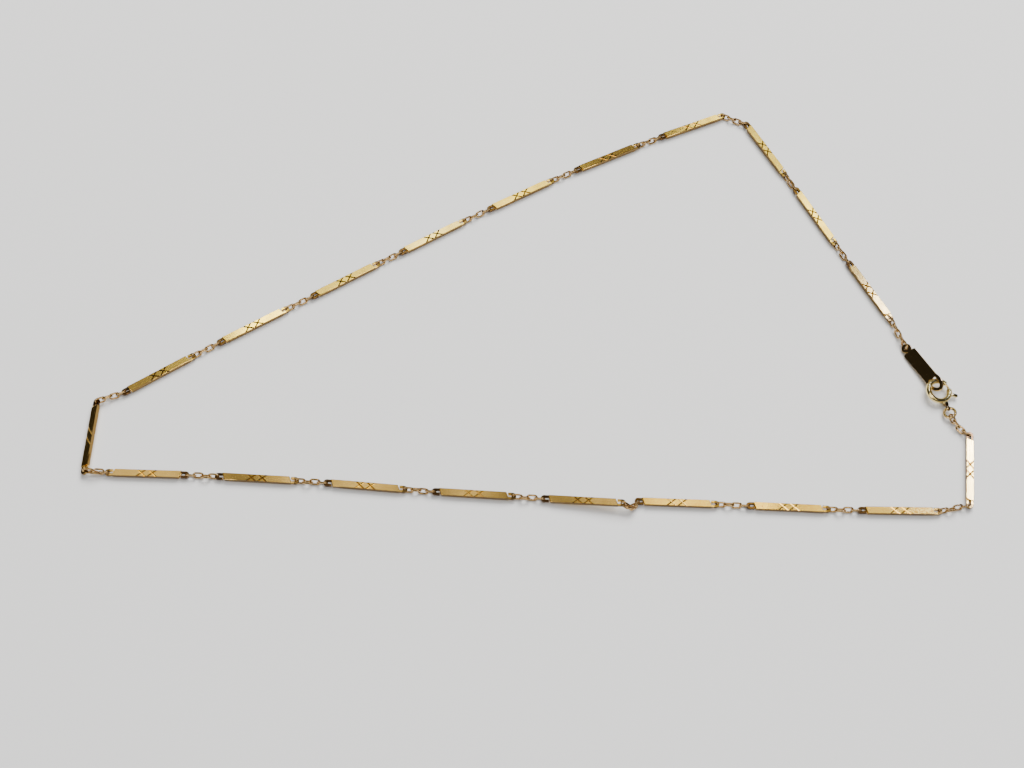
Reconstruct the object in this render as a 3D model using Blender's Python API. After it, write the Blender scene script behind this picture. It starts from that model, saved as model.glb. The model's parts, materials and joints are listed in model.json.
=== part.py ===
"""Gold bar-and-link necklace, fastened in a loop and laid flat.

Twenty flat bars with a cut pattern are joined by short runs of cable links.
A plain tag and a spring ring fasten the loop. Metres, +Z up, run with
blender --background --python part.py or from Blender's text editor.
"""
import math

import bmesh
import bpy
import numpy as np
from mathutils import Matrix, Vector

# Bar: a flat plate that ends in a strip curled round to an eye at each end
PLATE_LENGTH = 0.0120
PLATE_WIDTH = 0.00130
PLATE_THICKNESS = 0.00080
STRIP_THICKNESS = 0.00030
STRIP_HEIGHT = 0.00040
EYE_REACH = 0.00160
CUT_SLANT = 0.00036
CURL_OPENING = 0.00035
SKIN = 0.00001

# Crossed cuts at the middle of the bar's upper face
CUT_CROSS_PITCH = 0.00175
CUT_CROSS_LENGTH = 0.00125
CUT_WIDTH = 0.00028
CUT_DEPTH = 0.00010
CUT_SECOND_DEPTH = 0.8
CUT_CROSSES = 2

# Cable links
LINK_LENGTH = 0.00196
LINK_WIDTH = 0.00130
LINK_WIRE = 0.00028
WELD_BITE = 0.000035
HOOK_CLEARANCE = 0.00014
LINK_ROLLS = (62, -45, 52, -72)
LINK_ROLLS_TO_TAG = (62, -45, 52, -48, 66)

# Tag plate with a small eye and a large one
TAG_LENGTH = 0.00570
TAG_WIDTH = 0.00250
TAG_THICKNESS = 0.00040
TAG_ROLL = math.radians(33)
TAG_SMALL_EYE = 0.00095
TAG_EYE_WIDTH = 0.00262
TAG_EYE_LENGTH = 0.00410
TAG_EYE_WALL = 0.00040

# Spring ring: a hollow case, open on one side, and a sprung trigger inside it
CASE_RADIUS = 0.00201
CASE_TUBE = 0.00048
BORE_RADIUS = 0.00033
TRIGGER_RADIUS = 0.00023
TRIGGER_TRAVEL = math.radians(32)
TRIGGER_SEAT = math.radians(116)
OPENING_FAR = math.radians(112)
NUB_ANGLE = math.radians(54)
NUB_LENGTH = 0.00100
NUB_WIDTH = 0.00032
NUB_THICKNESS = 0.00026
NUB_CLEARANCE = 0.00009
CLASP_ROLL = math.radians(-6)
TAIL_WIDTH = 0.00078
TAIL_HEIGHT = 0.00070
TAIL_LENGTH = 0.00090
TAIL_EYE_RADIUS = 0.00045
TAIL_WIRE = 0.00015

# Jump ring between the spring ring and the chain
JUMP_RADIUS = 0.00105
JUMP_WIRE = 0.00020
JUMP_ROLL = math.radians(14)

# Heights of the chain's own line above the surface
BAR_AXIS = 0.00060
SEAT_AXIS = 0.00135
TAIL_AXIS = 0.00074
JUMP_AXIS = 0.00095
TAG_AXIS = 0.00080

# Plan of the closed chain, in the order of travel, from the bar's far end at
# the right, along the front, up the left side and back along the far side.
ROUTE = [
    (0.0803, -0.0276), (0.0785, -0.0427), (0.0563, -0.0430), (0.0359, -0.0426),
    (0.0188, -0.0424), (0.0162, -0.0432), (-0.0005, -0.0422), (-0.0199, -0.0415),
    (-0.0394, -0.0403), (-0.0589, -0.0397), (-0.0802, -0.0396), (-0.0801, -0.0252),
    (-0.0752, -0.0234), (-0.0612, -0.0139), (-0.0446, -0.0033), (-0.0280, 0.0073),
    (-0.0116, 0.0177), (0.0058, 0.0279), (0.0228, 0.0367), (0.0383, 0.0437),
    (0.0425, 0.0418), (0.0509, 0.0274), (0.0599, 0.0110), (0.0683, -0.0040),
    (0.0705, -0.0102), (0.0748, -0.0172), (0.0770, -0.0224), (0.0772, -0.0240),
]

# Bars in the order of travel: name, roll in degrees, lift of the first and of
# the second end as shares of the bar's width; then for the links that follow
# the slack as a share of their stretched length, the way that they lean, and
# how far they bow out to the side as a share of their run.
BARS = [
    ("bar_right", 180, 0.0, 0.0, 0.03, "near", 0.0), ("bar_front_8", 0, 0.0, 0.0, 0.00, "near", 0.0),
    ("bar_front_7", 0, 0.0, 0.0, 0.00, "near", 0.0), ("bar_front_6", 0, 0.0, 0.0, 0.50, "near", 0.32),
    ("bar_front_5", 0, 0.7, 0.0, 0.06, "near", 0.0), ("bar_front_4", 0, 0.0, 0.0, 0.07, "near", 0.0),
    ("bar_front_3", 0, 0.0, 0.0, 0.06, "near", 0.0), ("bar_front_2", 0, 0.0, 0.0, 0.02, "turned", 0.0),
    ("bar_front_1", 180, 0.0, 0.0, 0.29, "near", 0.0), ("bar_left", -38, 0.2, 0.2, 0.11, "far", 0.0),
    ("bar_back_1", 0, 0.0, 0.0, 0.05, "far", 0.0), ("bar_back_2", 0, 0.0, 0.0, 0.03, "far", 0.0),
    ("bar_back_3", 0, 0.0, 0.0, 0.09, "far", 0.0), ("bar_back_4", 0, 0.0, 0.0, 0.00, "far", 0.0),
    ("bar_back_5", 0, 0.0, 0.0, 0.03, "far", 0.0), ("bar_back_6", 0, 0.0, 0.0, 0.11, "far", 0.0),
    ("bar_back_7", 0, 0.0, 0.0, 0.13, "far", 0.0), ("bar_side_1", 0, 0.0, 0.0, 0.26, "far", 0.0),
    ("bar_side_2", 0, 0.0, 0.0, 0.11, "far", 0.0), ("bar_side_3", 180, 0.0, 0.0, 0.06, "far", 0.0),
]
CLASP_SLACK = 0.18
CLASP_BOW = -0.10

# Facets
EYE_STEPS = 5
LINK_STEPS = 4
WIRE_SIDES = 5
RING_STEPS = 12
CASE_STEPS = 16
TUBE_SIDES = 8
ENLARGED = 1000.0

# Lengths that follow from the values above
PIVOT_REACH = EYE_REACH - PLATE_WIDTH / 2
LINK_REACH = (LINK_LENGTH - LINK_WIRE) / 2
LINK_BEND = (LINK_WIDTH - LINK_WIRE) / 2
LINK_PITCH = LINK_LENGTH - 2 * LINK_WIRE
STRIP_RADIUS = (PLATE_WIDTH - STRIP_THICKNESS) / 2
HOOK_PLAY = PLATE_WIDTH / 2 - STRIP_THICKNESS - LINK_WIRE / 2 - HOOK_CLEARANCE
TAG_EYE_CENTRE = TAG_SMALL_EYE + TAG_LENGTH + TAG_EYE_LENGTH / 2 - TAG_EYE_WALL
TAIL_HOLE = CASE_RADIUS + CASE_TUBE + TAIL_LENGTH + TAIL_EYE_RADIUS / 2
JUMP_HOOK = JUMP_WIRE + LINK_WIRE / 2 + HOOK_CLEARANCE


def clear_scene():
    """Removes every object from the file."""
    for old in list(bpy.data.objects):
        bpy.data.objects.remove(old, do_unlink=True)


def gold(name, colour, roughness):
    """Returns a metal with the given colour."""
    metal = bpy.data.materials.new(name)
    metal.use_nodes = True
    shader = metal.node_tree.nodes["Principled BSDF"]
    shader.inputs["Base Color"].default_value = (*colour, 1.0)
    shader.inputs["Metallic"].default_value = 1.0
    shader.inputs["Roughness"].default_value = roughness
    return metal


def mesh_of(points, faces, name="form"):
    """Returns a mesh whose faces all point outwards."""
    mesh = bpy.data.meshes.new(name)
    mesh.from_pydata([tuple(p) for p in points], [], faces)
    form = bmesh.new()
    form.from_mesh(mesh)
    bmesh.ops.recalc_face_normals(form, faces=form.faces)
    form.to_mesh(mesh)
    form.free()
    return mesh


def prism(outline, height, base=None):
    """Returns an outline in the XY plane extruded along Z about its middle."""
    low = -height / 2 if base is None else base
    count = len(outline)
    points = [(x, y, low) for x, y in outline] + [(x, y, low + height) for x, y in outline]
    faces = [tuple(reversed(range(count))), tuple(range(count, 2 * count))]
    for i in range(count):
        j = (i + 1) % count
        faces.append((i, j, count + j, count + i))
    return mesh_of(points, faces)


def tube(path, outward, radius, sides, closed):
    """Returns a wire along a flat path, given the outward direction at each point."""
    points, faces = [], []
    for centre, out in zip(path, outward):
        for k in range(sides):
            turn = 2 * math.pi * k / sides
            points.append(centre + radius * (math.cos(turn) * out + math.sin(turn) * Vector((0, 0, 1))))
    runs = len(path) if closed else len(path) - 1
    for i in range(runs):
        here, there = i * sides, (i + 1) % len(path) * sides
        for k in range(sides):
            m = (k + 1) % sides
            faces.append((here + k, here + m, there + m, there + k))
    if not closed:
        faces.append(tuple(range(sides)))
        faces.append(tuple(range((len(path) - 1) * sides, len(path) * sides)))
    return mesh_of(points, faces)


def arc_tube(centre_radius, radius, start, end, steps, sides=TUBE_SIDES):
    """Returns a round wire bent to an arc about the Z axis."""
    turns = [start + (end - start) * i / steps for i in range(steps + 1)]
    outward = [Vector((math.cos(a), math.sin(a), 0)) for a in turns]
    return tube([centre_radius * out for out in outward], outward, radius, sides, False)


def ring_tube(centre_radius, radius, steps, sides):
    """Returns a closed round ring about the Z axis."""
    outward = []
    for i in range(steps):
        turn = 2 * math.pi * i / steps
        outward.append(Vector((math.cos(turn), math.sin(turn), 0)))
    return tube([centre_radius * out for out in outward], outward, radius, sides, True)


def combined(operation, base, others):
    """Returns the base mesh joined with, or cut by, each of the others.

    The work is done at an enlarged scale, where tiny faces keep their precision.
    """
    holders = []
    for mesh in [base] + others:
        holder = bpy.data.objects.new("holder", moved(mesh, Matrix.Scale(ENLARGED, 4)))
        bpy.context.scene.collection.objects.link(holder)
        holders.append(holder)
    for other in holders[1:]:
        step = holders[0].modifiers.new(operation.title(), "BOOLEAN")
        step.operation = operation
        step.object = other
    bpy.context.view_layer.update()
    shaped = holders[0].evaluated_get(bpy.context.evaluated_depsgraph_get())
    result = bpy.data.meshes.new_from_object(shaped)
    for holder in holders:
        bpy.data.objects.remove(holder, do_unlink=True)
    result.transform(Matrix.Scale(1 / ENLARGED, 4))
    return result


def shell_volume(shell):
    """Returns the volume within a closed shell of faces, below zero for a pocket."""
    total = 0.0
    for face in shell:
        points = [corner.co for corner in face.verts]
        for second, third in zip(points[1:], points[2:]):
            total += points[0].dot(second.cross(third)) / 6
    return total


def without_pockets(mesh):
    """Returns the mesh without the small sealed pockets between its fused wires."""
    form = bmesh.new()
    form.from_mesh(mesh)
    waiting = set(form.faces)
    pockets = []
    while waiting:
        shell, edge_of = [], [waiting.pop()]
        while edge_of:
            face = edge_of.pop()
            shell.append(face)
            for near in {other for edge in face.edges for other in edge.link_faces} & waiting:
                waiting.discard(near)
                edge_of.append(near)
        if shell_volume(shell) < 0:
            pockets += shell
    bmesh.ops.delete(form, geom=pockets, context="FACES")
    form.to_mesh(mesh)
    form.free()
    return mesh


def place(name, mesh, matrix, metal):
    """Adds a named object with its own material."""
    piece = bpy.data.objects.new(name, mesh)
    bpy.context.scene.collection.objects.link(piece)
    piece.matrix_world = matrix
    if not mesh.materials:
        mesh.materials.append(metal)
    mesh.shade_smooth()
    mesh.set_sharp_from_angle(angle=math.radians(40))
    return piece


def frame_between(start, end, roll=0.0):
    """Returns a frame at the start whose X axis points at the end."""
    along = (end - start).normalized()
    side = Vector((0, 0, 1)).cross(along).normalized()
    up = along.cross(side)
    turn = Matrix((along, side, up)).transposed().to_4x4()
    return Matrix.Translation(start) @ turn @ Matrix.Rotation(roll, 4, "X")


def moved(mesh, matrix):
    """Returns a copy of a mesh moved by a matrix."""
    copy = mesh.copy()
    copy.transform(matrix)
    return copy


def next_on_route(points, place_on, chord):
    """Returns the next place on the closed route at a straight distance."""
    count = len(points)
    index, share = place_on
    here = points[index % count].lerp(points[(index + 1) % count], share)
    while (points[(index + 1) % count] - here).length < chord:
        index += 1
        share = 0.0
    first, last = points[index % count], points[(index + 1) % count]
    run = last - first
    back = first - here
    a, b, c = run.dot(run), 2 * run.dot(back), back.dot(back) - chord * chord
    return index, (-b + math.sqrt(max(b * b - 4 * a * c, 0.0))) / (2 * a)


def run_length(links, slack):
    """Returns the distance between two pivots joined by a run of links."""
    stretched = 2 * LINK_REACH + (links - 1) * LINK_PITCH + 2 * HOOK_PLAY
    return stretched * (1 - slack)


def chain_chords():
    """Returns the straight length of each piece of the chain, in order."""
    chords = []
    for row in BARS:
        chords.append(PLATE_LENGTH + 2 * PIVOT_REACH)
        links = LINK_ROLLS_TO_TAG if row is BARS[-1] else LINK_ROLLS
        chords.append(run_length(len(links), row[4]))
    chords.append(TAG_EYE_CENTRE)
    chords.append(CASE_RADIUS + TAIL_HOLE)
    chords.append(2 * JUMP_RADIUS - JUMP_HOOK)
    chords.append(run_length(len(LINK_ROLLS), CLASP_SLACK))
    return chords


def laid_places(scale):
    """Returns the places of all pivots on the route at a scale, and the last one's excess."""
    points = [Vector(p) * scale for p in ROUTE]
    spot = (0, 0.0)
    spots = [points[0].copy()]
    for chord in chain_chords():
        spot = next_on_route(points, spot, chord)
        first, last = points[spot[0] % len(points)], points[(spot[0] + 1) % len(points)]
        spots.append(first.lerp(last, spot[1]))
    return spots, spot[0] + spot[1] - len(points)


def fitted_places():
    """Returns the pivots for the scale at which the chain closes on itself."""
    low, high = 0.3, 3.0
    for _ in range(60):
        middle = (low + high) / 2
        if laid_places(middle)[1] > 0:
            low = middle
        else:
            high = middle
    return laid_places(high)[0]


def eye_outline():
    """Returns the outline of the bar's end at +X, from its right side to its left one."""
    half, side = PLATE_LENGTH / 2, PLATE_WIDTH / 2
    inner = side - STRIP_THICKNESS
    pivot = half + PIVOT_REACH
    outline = [(half, -side)]
    for i in range(EYE_STEPS + 1):
        turn = -math.pi / 2 + math.pi * i / EYE_STEPS
        outline.append((pivot + side * math.cos(turn), side * math.sin(turn)))
    outline.append((half + CURL_OPENING, side))
    outline.append((half + CURL_OPENING, inner))
    for i in range(EYE_STEPS + 1):
        turn = math.pi / 2 - math.pi * i / EYE_STEPS
        outline.append((pivot + inner * math.cos(turn), inner * math.sin(turn)))
    outline.append((half + CUT_SLANT / 2, -inner))
    outline.append((half - CUT_SLANT / 2, side - 2 * SKIN))
    return outline


def plate_outline():
    """Returns the outline of the full-thickness plate with its slanted ends."""
    half, side = PLATE_LENGTH / 2, PLATE_WIDTH / 2 + SKIN
    one_end = [(half + CUT_SLANT * 0.6, -side), (half - CUT_SLANT * 0.6, side)]
    return one_end + [(-x, -y) for x, y in one_end]


def cross_cutters(over):
    """Returns the V-shaped cutters of the crossed lines on the face that lies uppermost."""
    reach = math.hypot(CUT_CROSS_LENGTH, PLATE_WIDTH) * 0.7
    slope = math.atan2(CUT_CROSS_LENGTH, PLATE_WIDTH)
    face = PLATE_THICKNESS / 2
    cutters = []
    for turn, depth in ((slope, CUT_DEPTH), (-slope, CUT_DEPTH * CUT_SECOND_DEPTH)):
        top = face + depth
        groove = prism([(CUT_WIDTH, top), (-CUT_WIDTH, top), (0.0, face - depth)], 2 * reach)
        lie = Matrix.Rotation(turn, 4, "Z") @ Matrix.Rotation(math.pi / 2, 4, "X")
        for n in range(CUT_CROSSES):
            centre = Matrix.Translation(((n - (CUT_CROSSES - 1) / 2) * CUT_CROSS_PITCH, 0, 0))
            cutters.append(moved(groove, centre @ Matrix.Rotation(over, 4, "X") @ lie))
    return cutters


def bar_mesh(over):
    """Returns the bar, with its length along X, its pivots at both ends and its cuts on top."""
    one_end = eye_outline()
    strip = prism(one_end + [(-x, -y) for x, y in one_end], STRIP_HEIGHT)
    body = combined("UNION", prism(plate_outline(), PLATE_THICKNESS), [strip])
    return combined("DIFFERENCE", body, cross_cutters(over))


def link_mesh():
    """Returns one oval link, lying in the XY plane with its length along X."""
    straight = LINK_REACH - LINK_BEND
    path, outward = [], []
    for end in (1, -1):
        for i in range(LINK_STEPS + 1):
            turn = (-math.pi / 2 + math.pi * i / LINK_STEPS) + (0 if end > 0 else math.pi)
            out = Vector((math.cos(turn), math.sin(turn), 0))
            path.append(Vector((end * straight, 0, 0)) + LINK_BEND * out)
            outward.append(out)
    return tube(path, outward, LINK_WIRE / 2, WIRE_SIDES, True)


def link_rolls(way, to_tag=False):
    """Returns the rolls of a run's links, in radians and in the order of travel."""
    rolls = [math.radians(roll) for roll in (LINK_ROLLS_TO_TAG if to_tag else LINK_ROLLS)]
    if way == "far":
        return rolls
    rolls = [-roll for roll in rolls]
    return rolls if way == "turned" else rolls[::-1]


def wire_line(frame, steps=36):
    """Returns points along the middle of a link's wire, for a link in a frame."""
    straight = LINK_REACH - LINK_BEND
    line = []
    for i in range(steps):
        turn = 2 * math.pi * (i + 0.5) / steps
        end = math.copysign(straight, math.cos(turn))
        line.append(frame @ Vector((end + LINK_BEND * math.cos(turn), LINK_BEND * math.sin(turn), 0)))
    for share in (-0.5, 0.0, 0.5):
        line += [frame @ Vector((share * straight, side * LINK_BEND, 0)) for side in (-1, 1)]
    return np.array(line)


def meeting_shift(before, frame, beside):
    """Returns how far a link slides sideways until its wire meets the one before."""
    fixed, free = wire_line(before), wire_line(frame)
    low, high = 0.0, LINK_BEND
    for _ in range(14):
        middle = (low + high) / 2
        apart = fixed[:, None, :] - (free + np.array(beside) * middle)[None, :, :]
        if np.sqrt((apart ** 2).sum(axis=2)).min() > LINK_WIRE - WELD_BITE:
            low = middle
        else:
            high = middle
    return high


def bowed_path(first, last, bow, steps=24):
    """Returns the points of a run's line, which bows out to its left."""
    side = Vector((0, 0, 1)).cross(last - first)
    return [
        first.lerp(last, i / steps) + side * (bow * math.sin(math.pi * i / steps))
        for i in range(steps + 1)
    ]


def spot_on(path, distance):
    """Returns the point and the direction at a distance along a path."""
    for here, there in zip(path, path[1:]):
        step = (there - here).length
        if distance <= step or there is path[-1]:
            return here.lerp(there, distance / step), there - here
        distance -= step
    return path[-1], path[-1] - path[-2]


def run_mesh(link, rolls, first, last, bow):
    """Returns a run of linked ovals between two points, fused where they touch."""
    path = bowed_path(first, last, bow)
    length = sum((there - here).length for here, there in zip(path, path[1:]))
    links = len(rolls)
    spare = 2 * LINK_REACH + (links - 1) * LINK_PITCH + 2 * HOOK_PLAY - length
    play = max(HOOK_PLAY - spare / (links + 1), HOOK_CLEARANCE - HOOK_PLAY - LINK_WIRE / 2)
    pitch = (length - 2 * play - 2 * LINK_REACH) / (links - 1)
    frames = []
    offset = Vector((0, 0, 0))
    for n, roll in enumerate(rolls):
        spot, along = spot_on(path, play + LINK_REACH + n * pitch)
        frame = frame_between(spot, spot + along, roll)
        if frames:
            beside = Vector((0, 0, 1)).cross(along).normalized()
            frame = Matrix.Translation(offset) @ frame
            steps = [way * beside * meeting_shift(frames[-1], frame, way * beside) for way in (1, -1)]
            step = min(steps, key=lambda v: (offset + v).length)
            offset = offset + step
            frame = Matrix.Translation(step) @ frame
        frames.append(frame)
    placed = [moved(link, Matrix.Translation(-offset / 2) @ frame) for frame in frames]
    return without_pockets(combined("UNION", placed[0], placed[1:]))


def tag_mesh():
    """Returns the tag, from the small eye's centre at the origin along +X."""
    half = TAG_WIDTH / 2
    small = TAG_SMALL_EYE - TAG_EYE_WALL / 2
    corner = TAG_EYE_WALL
    plate = prism([
        (TAG_SMALL_EYE - corner / 2, -half + corner), (TAG_SMALL_EYE, -half),
        (TAG_SMALL_EYE + TAG_LENGTH, -half), (TAG_SMALL_EYE + TAG_LENGTH + corner / 2, 0.0),
        (TAG_SMALL_EYE + TAG_LENGTH, half), (TAG_SMALL_EYE, half),
        (TAG_SMALL_EYE - corner / 2, half - corner),
    ], TAG_THICKNESS)
    small_eye = ring_tube(small, TAG_EYE_WALL / 2, RING_STEPS, WIRE_SIDES + 1)
    large_eye = ring_tube(1.0, TAG_EYE_WALL / 2, RING_STEPS, WIRE_SIDES + 1)
    reach = (TAG_EYE_LENGTH - TAG_EYE_WALL) / 2
    spread = (TAG_EYE_WIDTH - TAG_EYE_WALL) / 2
    for point in large_eye.vertices:
        out = Vector((point.co.x, point.co.y, 0))
        wall = out.length - 1.0
        out.normalize()
        point.co.x = TAG_EYE_CENTRE + out.x * (reach + wall)
        point.co.y = out.y * (spread + wall)
    return combined("UNION", plate, [small_eye, large_eye])


def case_mesh():
    """Returns the spring ring's case about its centre, with the tail along +X."""
    near = TRIGGER_SEAT - TRIGGER_TRAVEL - math.radians(4)
    case = arc_tube(CASE_RADIUS, CASE_TUBE, OPENING_FAR, near + 2 * math.pi, CASE_STEPS)
    collar = prism([
        (CASE_RADIUS + CASE_TUBE / 2, -TAIL_WIDTH / 2), (TAIL_HOLE - TAIL_EYE_RADIUS, -TAIL_WIDTH / 3),
        (TAIL_HOLE - TAIL_EYE_RADIUS, TAIL_WIDTH / 3), (CASE_RADIUS + CASE_TUBE / 2, TAIL_WIDTH / 2),
    ], TAIL_HEIGHT)
    eye = ring_tube(TAIL_EYE_RADIUS, TAIL_WIRE, RING_STEPS - 2, WIRE_SIDES)
    stand = Matrix.Translation((TAIL_HOLE, 0, 0)) @ Matrix.Rotation(math.pi / 2, 4, "X")
    solid = combined("UNION", case, [collar, moved(eye, stand)])
    past = math.radians(4)
    open_tail = NUB_ANGLE - TRIGGER_TRAVEL
    bore = arc_tube(CASE_RADIUS, BORE_RADIUS, open_tail - 6 * past, near + past, 9)
    socket = arc_tube(CASE_RADIUS, BORE_RADIUS, OPENING_FAR - past, TRIGGER_SEAT + past, 2)
    margin = (NUB_WIDTH / 2 + NUB_CLEARANCE) / (CASE_RADIUS + CASE_TUBE)
    slot = sector(CASE_RADIUS, CASE_RADIUS + 2 * CASE_TUBE, open_tail - margin, NUB_ANGLE + margin,
                  NUB_THICKNESS + 2 * NUB_CLEARANCE)
    return combined("DIFFERENCE", solid, [bore, socket, slot])


def sector(inner, outer, start, end, height):
    """Returns a curved block between two radii and two angles."""
    steps = 4
    turns = [start + (end - start) * i / steps for i in range(steps + 1)]
    outline = [(outer * math.cos(a), outer * math.sin(a)) for a in turns]
    outline += [(inner * math.cos(a), inner * math.sin(a)) for a in reversed(turns)]
    return prism(outline, height)


def trigger_mesh():
    """Returns the trigger about the case's centre, at rest: a curved pin with a thumb nub."""
    heel = NUB_ANGLE - math.radians(14)
    pin = arc_tube(CASE_RADIUS, TRIGGER_RADIUS, heel, TRIGGER_SEAT, 7)
    reach = CASE_RADIUS + CASE_TUBE + NUB_LENGTH
    nub = prism([
        (CASE_RADIUS, -NUB_WIDTH / 2), (reach - NUB_WIDTH / 2, -NUB_WIDTH / 2),
        (reach, -NUB_WIDTH / 4), (reach, NUB_WIDTH / 4),
        (reach - NUB_WIDTH / 2, NUB_WIDTH / 2), (CASE_RADIUS, NUB_WIDTH / 2),
    ], NUB_THICKNESS)
    return combined("UNION", pin, [moved(nub, Matrix.Rotation(NUB_ANGLE, 4, "Z"))])


def jump_mesh():
    """Returns the round jump ring about its own centre."""
    return ring_tube(JUMP_RADIUS, JUMP_WIRE, RING_STEPS, WIRE_SIDES + 1)


def raised(spot, height):
    """Returns a plan point at a height."""
    return Vector((spot.x, spot.y, height))


def hook_point(frame, pivot, goal):
    """Returns where a run starts so that it passes through the middle of an eye's strip."""
    way = (goal - pivot).normalized()
    across = frame.to_3x3().col[2]
    along = (way - across * way.dot(across)).normalized()
    return pivot + Vector((0, 0, STRIP_RADIUS * (along.z - way.z)))


def build_bars(spots):
    """Adds the bars and returns the frame and the two pivots of each."""
    metal = gold("bar_gold", (0.86, 0.62, 0.25), 0.16)
    meshes = {over: bar_mesh(math.pi if over else 0.0) for over in (False, True)}
    ends = []
    for n, row in enumerate(BARS):
        first = raised(spots[2 * n], BAR_AXIS + row[2] * PLATE_WIDTH)
        last = raised(spots[2 * n + 1], BAR_AXIS + row[3] * PLATE_WIDTH)
        frame = frame_between(first, last, math.radians(row[1]))
        middle = Matrix.Translation(((last - first).length / 2, 0, 0))
        place(row[0], meshes[abs(row[1]) > 90], frame @ middle, metal)
        ends.append((frame, first, last))
    return ends


def build_runs(ends, tag_start, jump_end):
    """Adds the run after each bar and the one from the clasp to the first bar."""
    metal = gold("link_gold", (0.83, 0.58, 0.24), 0.22)
    link = link_mesh()
    for n, row in enumerate(BARS):
        to_tag = n == len(BARS) - 1
        frame, _, pivot = ends[n]
        goal = tag_start if to_tag else ends[n + 1][1]
        first = hook_point(frame, pivot, goal)
        last = goal if to_tag else hook_point(ends[n + 1][0], goal, pivot)
        mesh = run_mesh(link, link_rolls(row[5], to_tag), first, last, row[6])
        place(f"links_{n + 1:02d}", mesh, Matrix.Identity(4), metal)
    mesh = run_mesh(link, link_rolls("far"), jump_end, ends[0][1], CLASP_BOW)
    place("links_clasp", mesh, Matrix.Identity(4), metal)


def build_clasp(spots):
    """Adds the tag, spring ring and jump ring, and returns the chain's two ends there."""
    tag_start = raised(spots[0], TAG_AXIS)
    seat = raised(spots[1], SEAT_AXIS)
    tail = raised(spots[2], TAIL_AXIS)
    jump_end = raised(spots[3], JUMP_AXIS)
    tag_metal = gold("tag_gold", (0.80, 0.56, 0.22), 0.12)
    clasp_metal = gold("clasp_gold", (0.84, 0.64, 0.30), 0.18)
    place("tag", tag_mesh(), frame_between(tag_start, seat, TAG_ROLL), tag_metal)
    centre = frame_between(seat, tail, CLASP_ROLL) @ Matrix.Translation((CASE_RADIUS, 0, 0))
    place("clasp_case", case_mesh(), centre, clasp_metal)
    place("clasp_trigger", trigger_mesh(), centre, gold("trigger_gold", (0.82, 0.60, 0.27), 0.2))
    jump = frame_between(tail, jump_end, JUMP_ROLL) @ Matrix.Translation((JUMP_RADIUS, 0, 0))
    place("jump_ring", jump_mesh(), jump, gold("jump_gold", (0.85, 0.63, 0.28), 0.2))
    return tag_start, jump_end


def stand_on_origin():
    """Moves everything so that the origin is under the middle of the box."""
    bpy.context.view_layer.update()
    pieces = [piece for piece in bpy.data.objects if piece.type == "MESH"]
    points = [piece.matrix_world @ point.co for piece in pieces for point in piece.data.vertices]
    low = Vector([min(p[axis] for p in points) for axis in range(3)])
    high = Vector([max(p[axis] for p in points) for axis in range(3)])
    shift = Vector((-(low.x + high.x) / 2, -(low.y + high.y) / 2, -low.z))
    for piece in pieces:
        piece.matrix_world = Matrix.Translation(shift) @ piece.matrix_world


def main():
    """Builds the necklace."""
    clear_scene()
    spots = fitted_places()
    ends = build_bars(spots)
    tag_start, jump_end = build_clasp(spots[2 * len(BARS):])
    build_runs(ends, tag_start, jump_end)
    stand_on_origin()


main()
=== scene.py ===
"""Gold necklace of cut bars and cable links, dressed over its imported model.

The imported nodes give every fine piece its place. Pieces are sized in millimetres
and degrees; finishes and finished objects are in metres, +Z up.
"""
import json
import logging
import math
from dataclasses import dataclass, field
from enum import Enum
from functools import cache
from typing import Any, Iterable, Sequence

import bmesh
import bpy
import numpy as np
from mathutils import Matrix, Vector


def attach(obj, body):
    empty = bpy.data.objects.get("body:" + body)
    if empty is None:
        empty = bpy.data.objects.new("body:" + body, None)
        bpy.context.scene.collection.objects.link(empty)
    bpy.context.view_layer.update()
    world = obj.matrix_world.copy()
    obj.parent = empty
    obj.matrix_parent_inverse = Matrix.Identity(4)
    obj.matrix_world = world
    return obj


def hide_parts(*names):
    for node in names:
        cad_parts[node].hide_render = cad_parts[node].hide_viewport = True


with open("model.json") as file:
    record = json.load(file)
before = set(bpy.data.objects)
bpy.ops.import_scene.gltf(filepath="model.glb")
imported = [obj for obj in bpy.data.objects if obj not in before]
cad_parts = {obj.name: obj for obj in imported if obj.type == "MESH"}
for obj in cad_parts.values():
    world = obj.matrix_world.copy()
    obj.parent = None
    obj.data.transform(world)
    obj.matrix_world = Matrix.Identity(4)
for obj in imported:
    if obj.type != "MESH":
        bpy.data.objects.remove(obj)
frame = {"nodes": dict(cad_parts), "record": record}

LOG = logging.getLogger("necklace")
METRES = 0.001
UP = Vector((0.0, 0.0, 1.0))
SHARP_EDGE = math.radians(28)
WHOLE_TURN = 2 * math.pi
SLACK = 1e-9
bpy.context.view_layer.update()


class Body(Enum):
    """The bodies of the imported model."""

    NECKLACE = "necklace"
    TRIGGER = "trigger"


class Lean(Enum):
    """How the links of a run are turned: away from the viewer, towards them, or turned round."""

    FAR = "far"
    NEAR = "near"
    TURNED = "turned"


class Grain(Enum):
    """The way in which a surface was polished, as the stretch of its fine lines."""

    ALONG = (260.0, 6500.0, 6500.0)
    ROUND = (1400.0, 1400.0, 1400.0)


# Shading


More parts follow.
